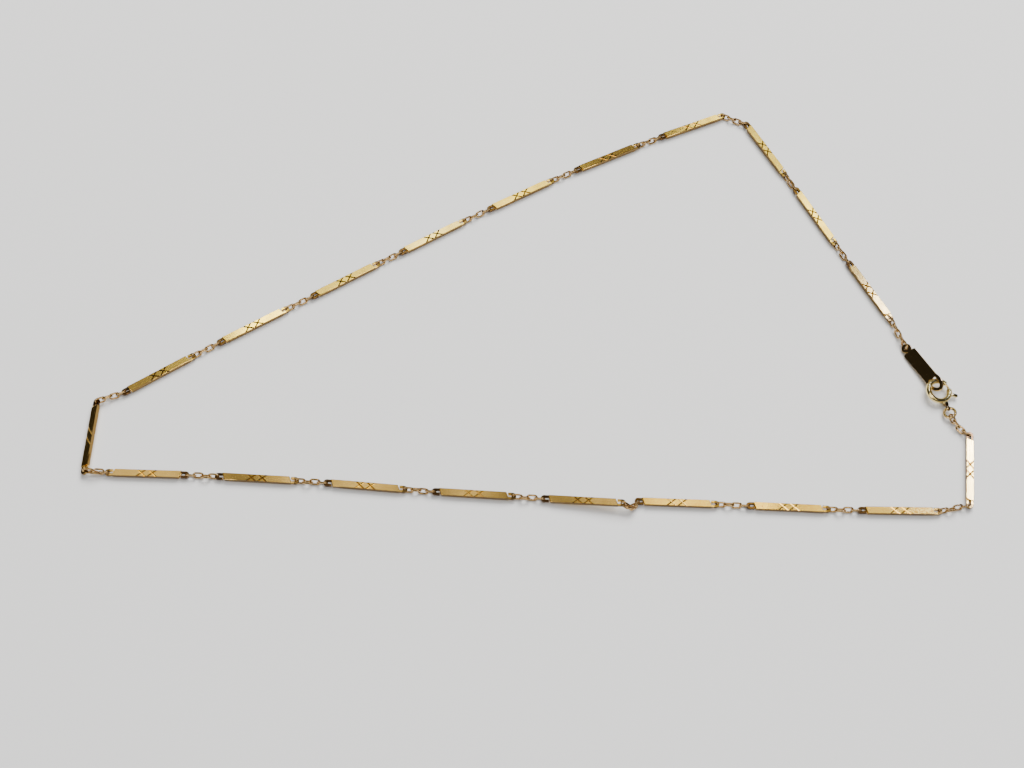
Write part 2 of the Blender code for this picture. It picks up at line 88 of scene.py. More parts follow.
class Value:
    """A number that varies over a surface. Arithmetic on it adds Math nodes."""

    def __init__(self, shading: "Shading", socket: bpy.types.NodeSocket) -> None:
        """Wraps an output socket of the tree that gets the new nodes."""
        self.shading = shading
        self.socket = socket

    def _math(self, operation: str, first: Any, second: Any) -> "Value":
        """Adds a Math node on two numbers or wrapped sockets, and returns its result."""
        return self.shading.node("ShaderNodeMath", {"operation": operation}, {0: first, 1: second})

    def __add__(self, other: Any) -> "Value":
        """Sum."""
        return self._math("ADD", self, other)

    def __radd__(self, other: Any) -> "Value":
        """Sum with a number on the left."""
        return self._math("ADD", other, self)

    def __sub__(self, other: Any) -> "Value":
        """Difference."""
        return self._math("SUBTRACT", self, other)

    def __rsub__(self, other: Any) -> "Value":
        """Difference from a number on the left."""
        return self._math("SUBTRACT", other, self)

    def __mul__(self, other: Any) -> "Value":
        """Product."""
        return self._math("MULTIPLY", self, other)

    def __rmul__(self, other: Any) -> "Value":
        """Product with a number on the left."""
        return self._math("MULTIPLY", other, self)


class Shading:
    """One material and its node tree."""

    def __init__(self, name: str) -> None:
        """Starts a material with one Principled shader.

        Args:
            name: the material's name.
        """
        self.material = bpy.data.materials.new(name)
        self.material.use_nodes = True
        self.tree = self.material.node_tree
        self.shader = self.tree.nodes["Principled BSDF"]

    def _feed(self, socket: bpy.types.NodeSocket, value: Any) -> None:
        """Links or sets one input socket."""
        if isinstance(value, Value):
            self.tree.links.new(value.socket, socket)
        elif isinstance(value, (tuple, list)) and len(value) == 3 and socket.type == "RGBA":
            socket.default_value = (*value, 1.0)
        else:
            socket.default_value = value

    def node(self, kind: str, settings: dict[str, Any], sockets: dict[Any, Any],
             result: Any = 0) -> Value:
        """Adds any node.

        Args:
            kind: the node's type name.
            settings: its own options, which are set first.
            sockets: numbers, colours or links for its inputs, by name or by index.
            result: the name or index of the output that is wanted.

        Returns:
            The wanted output.
        """
        node = self.tree.nodes.new(kind)
        for option, value in settings.items():
            setattr(node, option, value)
        for name, value in sockets.items():
            self._feed(node.inputs[name], value)
        return Value(self, node.outputs[result])

    def blend(self, share: Any, first: Any, second: Any) -> Value:
        """Returns a mix of two colours, with the given share of the second."""
        return self.node("ShaderNodeMix", {"data_type": "RGBA"}, {0: share, 6: first, 7: second}, 2)

    def cloud(self, place: Value, scale: float, detail: float) -> Value:
        """Returns soft noise of about 0.5, with scale features in a metre of the coordinates."""
        return self.node("ShaderNodeTexNoise", {},
                         {"Vector": place, "Scale": scale, "Detail": detail})

    def finish(self, **sockets: Any) -> bpy.types.Material:
        """Feeds the shader's sockets, with blanks in their names written as _.

        Args:
            sockets: numbers, colours or links.

        Returns:
            The finished material.
        """
        for name, value in sockets.items():
            self._feed(self.shader.inputs[name.replace("_", " ")], value)
        return self.material


@dataclass(frozen=True)
class PaintedShade:
    """A part darkened with painted shade along one of a piece's own axes, in metres: from start,
    whole at full.
    """

    axis: int
    start: float
    full: float
    share: float


@dataclass(frozen=True)
class Gold:
    """A polished gold alloy: its tones, gloss, smudges, polishing lines and parts darkened with
    painted shade.
    """

    name: str
    slot: str
    tone: tuple[float, float, float]
    deep: tuple[float, float, float]
    gloss: float
    smudge: float
    grain: Grain
    # Parts darkened with painted shade, each along one axis, and the dark tone of that painted shade.
    painted_shade: tuple[PaintedShade, ...] = ()
    painted_shade_tone: tuple[float, float, float] = (0.10, 0.05, 0.02)
    line_height: float = 0.0000016
    line_gloss: float = 0.05
    patch_scale: float = 420.0
    swell_height: float = 0.000012
    swell_scale: float = 160.0

    def material(self) -> bpy.types.Material:
        """Builds the finish.

        Returns:
            The material.
        """
        shading = Shading(self.name)
        place = shading.node("ShaderNodeTexCoord", {}, {}, "Object")
        drawn = shading.node("ShaderNodeMapping", {}, {"Vector": place, "Scale": self.grain.value})
        lines = shading.cloud(drawn, 1.0, 3.0)
        patches = shading.cloud(place, self.patch_scale, 3.0)
        swell = shading.cloud(place, self.swell_scale, 1.0)
        colour = shading.blend(patches, self.tone, self.deep)
        # Painted shade: each part is blended towards the dark tone along one of the piece's axes.
        for shaded_part in self.painted_shade:
            spread = shading.node("ShaderNodeSeparateXYZ", {}, {0: place}, shaded_part.axis)
            share = shading.node("ShaderNodeMapRange", {}, {
                "Value": spread, "From Min": shaded_part.start, "From Max": shaded_part.full, "To Max": shaded_part.share})
            colour = shading.blend(share, colour, self.painted_shade_tone)
        roughness = self.gloss + self.smudge * patches + self.line_gloss * lines
        fine = shading.node("ShaderNodeBump", {}, {
            "Strength": 1.0, "Distance": self.line_height, "Height": lines})
        relief = shading.node("ShaderNodeBump", {}, {
            "Strength": 1.0, "Distance": self.swell_height, "Height": swell, "Normal": fine})
        return shading.finish(Base_Color=colour, Metallic=1.0, Roughness=roughness, Normal=relief)


@dataclass(frozen=True)
class Matt:
    """A plain dull surface with a hint of unevenness."""

    name: str
    tone: tuple[float, float, float]
    other: tuple[float, float, float]
    patch_scale: float = 3.0
    dullness: float = 0.9

    def material(self) -> bpy.types.Material:
        """Returns the finish's material."""
        shading = Shading(self.name)
        place = shading.node("ShaderNodeTexCoord", {}, {}, "Object")
        colour = shading.blend(shading.cloud(place, self.patch_scale, 1.0), self.tone, self.other)
        return shading.finish(Base_Color=colour, Roughness=self.dullness)


# A bar's side walls and eyes are darkened with painted shade, and its eye at -X more than the one at
# +X.
BAR_GOLD = Gold("bar_polish", "bar_gold", (0.96, 0.67, 0.21), (0.92, 0.59, 0.15), 0.05, 0.06,
                Grain.ALONG, (PaintedShade(1, -0.00062, -0.000635, 0.82), PaintedShade(1, 0.00062, 0.000635, 0.82),
                              PaintedShade(0, -0.00605, -0.0062, 0.97), PaintedShade(0, 0.0066, 0.0068, 0.8)))
LINK_GOLD = Gold("link_polish", "link_gold", (0.84, 0.6, 0.29), (0.34, 0.19, 0.08), 0.09, 0.06,
                 Grain.ROUND)
TAG_GOLD = Gold("tag_polish", "tag_gold", (0.56, 0.4, 0.18), (0.46, 0.32, 0.14), 0.08, 0.05,
                Grain.ALONG)
# The clasp's tail, from 2.5 mm out along its X axis, is darkened with painted shade.
CLASP_GOLD = Gold("clasp_polish", "clasp_gold", (0.94, 0.8, 0.4), (0.88, 0.7, 0.3), 0.15, 0.05,
                  Grain.ROUND, (PaintedShade(0, 0.0025, 0.00265, 0.9),))
TRIGGER_GOLD = Gold("trigger_polish", "trigger_gold", (0.94, 0.76, 0.38), (0.86, 0.66, 0.28), 0.14,
                    0.05, Grain.ROUND)
JUMP_GOLD = Gold("jump_polish", "jump_gold", (0.9, 0.7, 0.36), (0.66, 0.44, 0.2), 0.14, 0.05,
                 Grain.ROUND)
TABLE_FINISH = Matt("table_top", (0.66, 0.655, 0.645), (0.69, 0.69, 0.685))


# Mesh work, in millimetres


def shown(name: str, data: Any) -> bpy.types.Object:
    """Adds an object with the given data to the scene."""
    thing = bpy.data.objects.new(name, data)
    bpy.context.scene.collection.objects.link(thing)
    return thing


def mesh_of(points: Sequence[Sequence[float]], faces: Sequence[Sequence[int]]) -> bpy.types.Mesh:
    """Makes a mesh whose faces all point outwards.

    Args:
        points: the corners.
        faces: the corners of each face, by number.

    Returns:
        The mesh.
    """
    mesh = bpy.data.meshes.new("form")
    mesh.from_pydata([tuple(point) for point in points], [], [tuple(face) for face in faces])
    form = bmesh.new()
    form.from_mesh(mesh)
    bmesh.ops.recalc_face_normals(form, faces=form.faces)
    form.to_mesh(mesh)
    form.free()
    return mesh


def prism(outline: Sequence[tuple[float, float]], height: float) -> bpy.types.Mesh:
    """Extrudes an outline in the XY plane to both sides.

    Args:
        outline: the corners in order.
        height: the whole height.

    Returns:
        The mesh.
    """
    count = len(outline)
    points = [(x, y, z) for z in (-height / 2, height / 2) for x, y in outline]
    faces = [tuple(reversed(range(count))), tuple(range(count, 2 * count))]
    faces += [(i, (i + 1) % count, count + (i + 1) % count, count + i) for i in range(count)]
    return mesh_of(points, faces)


def round_section(radius: float, sides: int) -> list[tuple[float, float]]:
    """Returns the section of a round wire, as steps outwards and upwards."""
    turns = [WHOLE_TURN * k / sides for k in range(sides)]
    return [(radius * math.cos(turn), radius * math.sin(turn)) for turn in turns]


def flat_section(width: float, height: float, corner: float,
                 steps: int = 4) -> list[tuple[float, float]]:
    """Returns the section of a flat band with rounded corners."""
    section = []
    for quarter, (x, y) in enumerate(((1, 1), (-1, 1), (-1, -1), (1, -1))):
        for i in range(steps + 1):
            turn = math.pi / 2 * (quarter + i / steps)
            section.append((x * (width / 2 - corner) + corner * math.cos(turn),
                            y * (height / 2 - corner) + corner * math.sin(turn)))
    return section


def wire(line: Sequence[Vector], outward: Sequence[Vector], section: Sequence[tuple[float, float]],
         closed: bool) -> bpy.types.Mesh:
    """Runs a section along a flat line.

    Args:
        line: points in the XY plane.
        outward: the outward direction at each of them.
        section: the section's corners, as steps outwards and upwards.
        closed: whether the end meets the start.

    Returns:
        The mesh.
    """
    sides = len(section)
    points = [spot + out * x + UP * z for spot, out in zip(line, outward) for x, z in section]
    faces = []
    for i in range(len(line) if closed else len(line) - 1):
        here, there = i * sides, (i + 1) % len(line) * sides
        for k in range(sides):
            m = (k + 1) % sides
            faces.append((here + k, here + m, there + m, there + k))
    if not closed:
        faces.append(tuple(range(sides)))
        faces.append(tuple(range((len(line) - 1) * sides, len(line) * sides)))
    return mesh_of(points, faces)


def arc(radius: float, section: Sequence[tuple[float, float]], start: float, end: float,
        steps: int) -> bpy.types.Mesh:
    """Bends a section to an arc about the Z axis.

    Args:
        radius: from the axis to the section's middle.
        section: the section's corners.
        start: first angle in radians.
        end: last angle in radians; a whole turn closes the ring.
        steps: the number of pieces along it.

    Returns:
        The mesh.
    """
    whole = abs(end - start) >= WHOLE_TURN - SLACK
    turns = [start + (end - start) * i / steps for i in range(steps if whole else steps + 1)]
    outward = [Vector((math.cos(a), math.sin(a), 0.0)) for a in turns]
    return wire([radius * out for out in outward], outward, section, whole)


def softened(mesh: bpy.types.Mesh, width: float, steps: int = 2) -> bpy.types.Mesh:
    """Rounds the sharp edges of a mesh.

    Args:
        mesh: the mesh, which is changed.
        width: how far the rounding reaches.
        steps: the number of facets across it.

    Returns:
        The same mesh.
    """
    form = bmesh.new()
    form.from_mesh(mesh)
    sharp = [edge for edge in form.edges
             if edge.is_manifold and edge.calc_face_angle() > SHARP_EDGE]
    bmesh.ops.bevel(form, geom=sharp, offset=width, segments=steps, profile=0.5, affect="EDGES",
                    clamp_overlap=True)
    form.to_mesh(mesh)
    form.free()
    return mesh


def moved(mesh: bpy.types.Mesh, matrix: Matrix) -> bpy.types.Mesh:
    """Copies a mesh and moves the copy."""
    copy = mesh.copy()
    copy.transform(matrix)
    return copy


def fused(operation: str, base: bpy.types.Mesh, others: Iterable[bpy.types.Mesh]) -> bpy.types.Mesh:
    """Joins meshes with, or cuts them from, a base.

    Args:
        operation: UNION or DIFFERENCE.
        base: the first mesh.
        others: the meshes that are added or cut away.

    Returns:
        A new mesh.
    """
    holders = [shown("holder", mesh) for mesh in [base, *others]]
    for other in holders[1:]:
        step = holders[0].modifiers.new(operation.title(), "BOOLEAN")
        step.operation, step.object, step.solver = operation, other, "EXACT"
    bpy.context.view_layer.update()
    shaped = holders[0].evaluated_get(bpy.context.evaluated_depsgraph_get())
    result = bpy.data.meshes.new_from_object(shaped)
    for holder in holders:
        bpy.data.objects.remove(holder, do_unlink=True)
    return result


def gathered(meshes: Sequence[bpy.types.Mesh]) -> bpy.types.Mesh:
    """Collects several meshes in one, as they lie."""
    points, faces = [], []
    for mesh in meshes:
        start = len(points)
        points += [tuple(corner.co) for corner in mesh.vertices]
        faces += [tuple(start + i for i in face.vertices) for face in mesh.polygons]
    return mesh_of(points, faces)


def in_metres(mesh: bpy.types.Mesh, sharp: float) -> bpy.types.Mesh:
    """Scales a mesh to metres and shades it smooth up to an angle in degrees."""
    mesh.transform(Matrix.Scale(METRES, 4))
    mesh.shade_smooth()
    mesh.set_sharp_from_angle(angle=math.radians(sharp))
    return mesh


def metric(matrix: Matrix) -> Matrix:
    """Turns a frame in millimetres into one in metres."""
    copy = matrix.copy()
    copy.translation = matrix.translation * METRES
    return copy


def frame_of(origin: Vector, along: Vector, top: Vector) -> Matrix:
    """Returns the frame with the given X axis and, as nearly as it can be, Z axis."""
    side = top.cross(along).normalized()
    turn = Matrix((along.normalized(), side, along.cross(side).normalized())).transposed().to_4x4()
    return Matrix.Translation(origin) @ turn


@dataclass
class NodeForm:
    """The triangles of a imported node, in millimetres."""

    corners: np.ndarray

    @classmethod
    def of(cls, name: str) -> "NodeForm":
        """Reads a node.

        Args:
            name: the node's name.

        Returns:
            Its form.
        """
        mesh = frame["nodes"][name].data
        mesh.calc_loop_triangles()
        points = np.array([corner.co for corner in mesh.vertices]) / METRES
        return cls(points[np.array([face.vertices for face in mesh.loop_triangles])])

    def points(self) -> np.ndarray:
        """Returns all corners."""
        return self.corners.reshape(-1, 3)

    def crosses(self) -> np.ndarray:
        """Returns each triangle's normal, as long as twice its area."""
        first, second, third = np.moveaxis(self.corners, 1, 0)
        return np.cross(second - first, third - first)

    def largest(self) -> int:
        """Returns the number of the largest triangle."""
        return int(np.argmax(np.linalg.norm(self.crosses(), axis=1)))

    def middle(self, axes: Matrix | None = None) -> Vector:
        """Returns the middle of the box round the node in the given axes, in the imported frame."""
        turn = np.array(axes.to_3x3()) if axes else np.eye(3)
        local = self.points() @ turn
        return Vector(turn @ ((local.min(axis=0) + local.max(axis=0)) / 2))

    def main_axes(self) -> tuple[Vector, Vector]:
        """Returns the directions of the largest and of the smallest spread of its surface."""
        area = np.linalg.norm(self.crosses(), axis=1)
        spots = self.corners.mean(axis=1)
        spots = spots - (spots * area[:, None]).sum(axis=0) / area.sum()
        ways = np.linalg.eigh((spots * area[:, None]).T @ spots)[1]
        return Vector(ways[:, 2]), Vector(ways[:, 0])


@cache
def material_of(finish: Gold) -> bpy.types.Material:
    """Returns a finish's one material."""
    return finish.material()


def place(name: str, mesh: bpy.types.Mesh, matrix: Matrix, finish: Gold, body: Body,
          *nodes: str) -> None:
    """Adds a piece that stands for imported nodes.

    Args:
        name: the piece's name.
        mesh: its mesh, in metres.
        matrix: its place.
        finish: its polish.
        body: the body that it rides on.
        nodes: the nodes that it stands for.
    """
    if not mesh.materials:
        mesh.materials.append(material_of(finish))
    piece = shown(name, mesh)
    piece.matrix_world = matrix
    bpy.context.view_layer.update()
    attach(piece, body.value)
    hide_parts(*nodes)
    LOG.info("%s: %d faces, stands for %s", name, len(mesh.polygons), ", ".join(nodes))


# The necklace


@dataclass
class Bar:
    """A flat bar: a plate with crossed cuts, and a strip curled to an eye at each end."""

    plate_length: float = 12.0
    plate_width: float = 1.30
    plate_thickness: float = 0.80
    strip_thickness: float = 0.45
    strip_height: float = 0.48
    eye_reach: float = 1.60
    end_slant: float = 0.36
    curl_opening: float = 0.10
    edge_round: float = 0.045
    strip_round: float = 0.06
    cross_pitch: float = 1.95
    cross_length: float = 1.55
    cut_width: float = 0.28
    cut_depth: float = 0.11
    second_depth: float = 0.8
    crosses: int = 2
    slant_share: float = 0.6
    root_inset: float = 0.02
    groove_share: float = 0.7
    eye_steps: int = 18
    sharp_angle: float = 20.0
    # Bars that lie turned over, bars rolled by some degrees, and bars that lie end for end,
    # with the eye that carries the darker painted shade at the other end.
    turned: tuple[str, ...] = ("bar_right", "bar_front_1", "bar_side_3")
    rolled: tuple[tuple[str, float], ...] = (("bar_left", 8.0),)
    swapped: tuple[str, ...] = ("bar_left", *(f"bar_front_{n}" for n in range(2, 9)))

    @property
    def pivot(self) -> float:
        """Distance from the bar's middle to the middle of its eye."""
        return self.plate_length / 2 + self.eye_reach - self.plate_width / 2

    def eye_outline(self) -> list[tuple[float, float]]:
        """Returns the outline of the strip's end at +X."""
        half, side = self.plate_length / 2, self.plate_width / 2
        inner = side - self.strip_thickness
        outline = [(half, -side)]
        for radius, way in ((side, 1), (inner, -1)):
            for i in range(self.eye_steps + 1):
                turn = way * math.pi * (i / self.eye_steps - 0.5)
                outline.append((self.pivot + radius * math.cos(turn), radius * math.sin(turn)))
            if way > 0:
                outline += [(half + self.curl_opening, side), (half + self.curl_opening, inner)]
        outline.append((half + self.end_slant / 2, -inner))
        outline.append((half - self.end_slant / 2, side - self.root_inset))
        return outline

    def cutters(self) -> list[bpy.types.Mesh]:
        """Returns the cutters of the crossed lines on both faces."""
        reach = math.hypot(self.cross_length, self.plate_width) * self.groove_share
        slope = math.atan2(self.cross_length, self.plate_width)
        face, found = self.plate_thickness / 2, []
        for over in (0.0, math.pi):
            for turn, share in ((slope, 1.0), (-slope, self.second_depth)):
                depth = self.cut_depth * share
                groove = prism([(self.cut_width, face + depth), (-self.cut_width, face + depth),
                                (0.0, face - depth)], 2 * reach)
                lie = Matrix.Rotation(turn, 4, "Z") @ Matrix.Rotation(math.pi / 2, 4, "X")
                for n in range(self.crosses):
                    shift = Vector(((n - (self.crosses - 1) / 2) * self.cross_pitch, 0.0, 0.0))
                    spot = Matrix.Translation(shift) @ Matrix.Rotation(over, 4, "X")
                    found.append(moved(groove, spot @ lie))
        return found

    def build(self) -> bpy.types.Mesh:
        """Builds the bar, with its length along X.

        Returns:
            The mesh, in metres.
        """
        half, side = self.plate_length / 2, self.plate_width / 2
        slant = self.end_slant * self.slant_share
        one_end = [(half + slant, -side), (half - slant, side)]
        plate = prism(one_end + [(-x, -y) for x, y in one_end], self.plate_thickness)
        curl = self.eye_outline()
        strip = prism(curl + [(-x, -y) for x, y in curl], self.strip_height)
        body = fused("UNION", softened(plate, self.edge_round), [softened(strip, self.strip_round)])
        return in_metres(fused("DIFFERENCE", body, self.cutters()), self.sharp_angle)

    def where(self, name: str, onward: Vector) -> Matrix:
        """Finds a bar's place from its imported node.

        Args:
            name: the node.
            onward: a point further along the chain.

        Returns:
            The frame at its middle, with X towards that point.
        """
        form = NodeForm.of(name)
        big = form.largest()
        under = Vector(form.crosses()[big]).normalized()
        sides = np.roll(form.corners[big], -1, axis=0) - form.corners[big]
        edges = [Vector(edge) for edge in sides]
        along = min(edges, key=lambda edge: abs(edge.length - self.plate_length)).normalized()
        if along.dot(onward - form.middle()) < 0:
            along.negate()
        top = under if name in self.turned else -under
        turn = frame_of(Vector(), along, top)
        roll = Matrix.Rotation(math.radians(dict(self.rolled).get(name, 0.0)), 4, "X")
        return Matrix.Translation(form.middle(turn)) @ turn @ roll

    def dress(self, name: str, mesh: bpy.types.Mesh, spot: Matrix) -> None:
        """Adds the fine bar for a node."""
        if name in self.swapped:
            spot = spot @ Matrix.Rotation(math.pi, 4, "Z")
        place(f"fine_{name}", mesh, metric(spot), BAR_GOLD, Body.NECKLACE, name)


@dataclass
class CableRun:
    """A short run of oval cable links between two hooks."""

    link_length: float = 1.96
    link_width: float = 1.14
    wire_thickness: float = 0.28
    stout: float = 0.08
    bite: float = 0.035
    clearance: float = 0.14
    strip_radius: float = 0.50
    hook_room: float = 0.35
    rolls: tuple[float, ...] = (62, -45, 52, -72)
    rolls_to_tag: tuple[float, ...] = (62, -45, 52, -48, 66)
    end_steps: int = 14
    wire_sides: int = 12
    path_steps: int = 24
    sample_steps: int = 36
    halvings: int = 14
    sharp_angle: float = 60.0

    @property
    def reach(self) -> float:
        """Distance from a link's middle to the wire at its end."""
        return (self.link_length - self.wire_thickness) / 2

    @property
    def bend(self) -> float:
        """Radius of the link's round ends at the middle of the wire."""
        return (self.link_width - self.wire_thickness) / 2

    @property
    def play(self) -> float:
        """How far a hooked link may slide past the hook's middle."""
        return self.hook_room - self.wire_thickness / 2 - self.clearance

    def oval(self) -> tuple[list[Vector], list[Vector]]:
        """Returns the middle line of a link, and its outward directions."""
        line, outward = [], []
        for end in (1, -1):
            for i in range(self.end_steps + 1):
                turn = math.pi * (i / self.end_steps - 0.5) + (0 if end > 0 else math.pi)
                out = Vector((math.cos(turn), math.sin(turn), 0.0))
                line.append(Vector((end * (self.reach - self.bend), 0.0, 0.0)) + self.bend * out)
                outward.append(out)
        return line, outward

    def link(self) -> bpy.types.Mesh:
        """Builds one link in the XY plane."""
        line, outward = self.oval()
        ring = round_section((self.wire_thickness + self.stout) / 2, self.wire_sides)
        return wire(line, outward, [(x + self.stout / 2, z) for x, z in ring], True)

    def turns(self, lean: Lean, to_tag: bool) -> list[float]:
        """Returns the rolls of the links in radians, in the order of travel."""
        rolls = [math.radians(roll) for roll in (self.rolls_to_tag if to_tag else self.rolls)]
        if lean is Lean.FAR:
            return rolls
        rolls = [-roll for roll in rolls]
        return rolls if lean is Lean.TURNED else rolls[::-1]

    def sample(self, spot: Matrix) -> np.ndarray:
        """Returns points on the middle of a link's wire."""
        straight, line = self.reach - self.bend, []
        for i in range(self.sample_steps):
            turn = WHOLE_TURN * (i + 0.5) / self.sample_steps
            end = math.copysign(straight, math.cos(turn))
            line.append(Vector((end + self.bend * math.cos(turn), self.bend * math.sin(turn), 0.0)))
        for share in (-0.5, 0.0, 0.5):
            line += [Vector((share * straight, side * self.bend, 0.0)) for side in (-1, 1)]
        return np.array([spot @ point for point in line])

    def slide(self, before: Matrix, spot: Matrix, beside: Vector) -> float:
        """Finds how far a link slides sideways until its wire meets the one before.

        Args:
            before: the frame of the link before.
            spot: the frame of the link.
            beside: the direction of the slide.

        Returns:
            The distance.
        """
        fixed, free = self.sample(before), self.sample(spot)
        low, high = 0.0, self.bend
        for _ in range(self.halvings):
            middle = (low + high) / 2
            apart = fixed[:, None, :] - (free + np.array(beside) * middle)[None, :, :]
            if np.sqrt((apart ** 2).sum(axis=2)).min() > self.wire_thickness - self.bite:
                low = middle
            else:
                high = middle
        return high

    def build(self, rolls: Sequence[float], first: Vector, last: Vector,
              bow: float) -> bpy.types.Mesh:
        """Builds a run.

        Args:
            rolls: the roll of each link in radians.
            first: the hook's middle where the run starts.
            last: the hook's middle where it ends.
            bow: how far the run bows to its left, as a share of its length.

        Returns:
            The mesh, in metres.
        """
        side, steps = UP.cross(last - first), self.path_steps
        path = [first.lerp(last, i / steps) + side * (bow * math.sin(math.pi * i / steps))
                for i in range(steps + 1)]
        pieces = [(there - here).length for here, there in zip(path, path[1:])]
        length, links = sum(pieces), len(rolls)
        pitch = self.link_length - 2 * self.wire_thickness
        spare = 2 * self.reach + (links - 1) * pitch + 2 * self.play - length
        least = self.clearance - self.play - self.wire_thickness / 2
        play = max(self.play - spare / (links + 1), least)
        pitch = (length - 2 * play - 2 * self.reach) / (links - 1)
        spots: list[Matrix] = []
        offset = Vector()
        for n, roll in enumerate(rolls):
            spot, along = self.on_path(path, pieces, play + self.reach + n * pitch)
            here = frame_of(spot + offset, along, UP) @ Matrix.Rotation(roll, 4, "X")
            if spots:
                beside = UP.cross(along).normalized()
                ways = [way * beside * self.slide(spots[-1], here, way * beside) for way in (1, -1)]
                step = min(ways, key=lambda way: (offset + way).length)
                offset = offset + step
                here = Matrix.Translation(step) @ here
            spots.append(here)
        link = self.link()
        back = Matrix.Translation(-offset / 2)
        return in_metres(gathered([moved(link, back @ spot) for spot in spots]), self.sharp_angle)

    @staticmethod
    def on_path(path: Sequence[Vector], pieces: Sequence[float],
                distance: float) -> tuple[Vector, Vector]:
        """Returns the point and the direction at a distance along a path."""
        for n, step in enumerate(pieces):
            if distance <= step or n == len(pieces) - 1:
                return path[n].lerp(path[n + 1], distance / step), path[n + 1] - path[n]
            distance -= step
        return path[-1], path[-1] - path[-2]

    def hook(self, spot: Matrix, pivot: Vector, goal: Vector) -> Vector:
        """Returns where a run starts, so that it passes through the middle of an eye's strip."""
        way = (goal - pivot).normalized()
        across = spot.to_3x3().col[2]
        along = (way - across * way.dot(across)).normalized()
        return pivot + Vector((0.0, 0.0, self.strip_radius * (along.z - way.z)))

    def dress(self, name: str, mesh: bpy.types.Mesh) -> None:
        """Adds the fine run for a node."""
        place(f"fine_{name}", mesh, Matrix.Identity(4), LINK_GOLD, Body.NECKLACE, name)


@dataclass
class SpringRing:
    """The clasp: a hollow case with a tail eye, and a sprung trigger inside it."""

    radius: float = 2.01
    tube: float = 0.52
    bore: float = 0.33
    pin: float = 0.23
    travel: float = 32.0
    seat: float = 116.0
    far_lip: float = 112.0
    nub_angle: float = 54.0
    nub_length: float = 1.10
    nub_width: float = 0.60
    nub_thickness: float = 0.46
    nub_clearance: float = 0.09
    tail_width: float = 0.92
    tail_height: float = 0.70
    tail_length: float = 0.86
    eye_radius: float = 0.45
    eye_wire: float = 0.15
    edge_round: float = 0.06
    pin_round: float = 0.05
    nub_round: float = 0.04
    heel: float = 14.0
    past: float = 4.0
    ring_steps: int = 72
    tube_sides: int = 24
    bore_sides: int = 16
    bore_steps: int = 24
    eye_sides: int = 12
    eye_steps: int = 32
    slot_steps: int = 8
    nub_steps: int = 10
    socket_steps: int = 4
    sharp_angle: float = 35.0

    @property
    def tail_hole(self) -> float:
        """Distance from the case's middle to the middle of the tail's eye."""
        return self.radius + self.tube + self.tail_length + self.eye_radius / 2

    def where(self) -> Matrix:
        """Returns the clasp's frame: Z is the trigger's axis, X points along the tail."""
        joint = frame["record"]["behaviour"]["joints"][0]
        middle = Vector(joint["pos_m"]) / METRES
        axis = Vector(joint["axis"]).normalized()
        points = NodeForm.of("clasp_case").points()
        furthest = int(np.argmax(np.linalg.norm(points - np.array(middle), axis=1)))
        tip = Vector(points[furthest]) - middle
        return frame_of(middle, (tip - axis * tip.dot(axis)).normalized(), axis)

    def case(self) -> bpy.types.Mesh:
        """Builds the case with its bore, thumb slot, collar and tail eye."""
        near = math.radians(self.seat - self.travel - self.past)
        far = math.radians(self.far_lip)
        tube = round_section(self.tube, self.tube_sides)
        ring = arc(self.radius, tube, far, near + WHOLE_TURN, self.ring_steps)
        root, tip = self.radius + self.tube / 2, self.tail_hole - self.eye_radius
        collar = prism([(root, -self.tail_width / 2), (tip, -self.tail_width / 3),
                        (tip, self.tail_width / 3), (root, self.tail_width / 2)], self.tail_height)
        stand = Matrix.Translation((self.tail_hole, 0, 0)) @ Matrix.Rotation(math.pi / 2, 4, "X")
        wire_round = round_section(self.eye_wire, self.eye_sides)
        eye = moved(arc(self.eye_radius, wire_round, 0.0, WHOLE_TURN, self.eye_steps), stand)
        round_collar = softened(collar, self.edge_round, 3)
        solid = fused("UNION", softened(ring, self.edge_round), [round_collar, eye])
        past = math.radians(self.past)
        open_tail = math.radians(self.nub_angle - self.travel)
        bore = round_section(self.bore, self.bore_sides)
        hollow = arc(self.radius, bore, open_tail - 6 * past, near + past, self.bore_steps)
        seat = math.radians(self.seat)
        socket = arc(self.radius, bore, far - past, seat + past, self.socket_steps)
        margin = (self.nub_width / 2 + self.nub_clearance) / (self.radius + self.tube)
        sweep = self.nub_angle * math.pi / 180 - open_tail + 2 * margin
        steps = self.slot_steps
        turns = [open_tail - margin + sweep * i / steps for i in range(steps + 1)]
        outer = self.radius + 2 * self.tube
        block = [(outer * math.cos(a), outer * math.sin(a)) for a in turns]
        block += [(self.radius * math.cos(a), self.radius * math.sin(a)) for a in reversed(turns)]
        slot = prism(block, self.nub_thickness + 2 * self.nub_clearance)
        return in_metres(fused("DIFFERENCE", solid, [hollow, socket, slot]), self.sharp_angle)

    def trigger(self) -> bpy.types.Mesh:
        """Builds the trigger at rest: a curved pin with a rounded thumb nub."""
        heel, seat = math.radians(self.nub_angle - self.heel), math.radians(self.seat)
        rod = arc(self.radius, round_section(self.pin, self.bore_sides), heel, seat, self.bore_steps)
        pin = softened(rod, self.pin_round)
        reach, half = self.radius + self.tube + self.nub_length, self.nub_width / 2
        outline = [(self.radius, -half)]
        outline += [(reach - half + half * math.sin(a), -half * math.cos(a))
                    for a in [math.pi * i / self.nub_steps for i in range(self.nub_steps + 1)]]
        outline.append((self.radius, half))
        nub = softened(prism(outline, self.nub_thickness), self.nub_round)
        turned = moved(nub, Matrix.Rotation(math.radians(self.nub_angle), 4, "Z"))
        return in_metres(fused("UNION", pin, [turned]), self.sharp_angle)

    def build(self) -> tuple[bpy.types.Mesh, bpy.types.Mesh]:
        """Builds the case and the trigger."""
        return self.case(), self.trigger()

    def dress(self, spot: Matrix) -> None:
        """Adds both pieces of the clasp."""
        case, trigger = self.build()
        place("fine_clasp_case", case, metric(spot), CLASP_GOLD, Body.NECKLACE, "clasp_case")
        place("fine_clasp_trigger", trigger, metric(spot), TRIGGER_GOLD, Body.TRIGGER,
              "clasp_trigger")


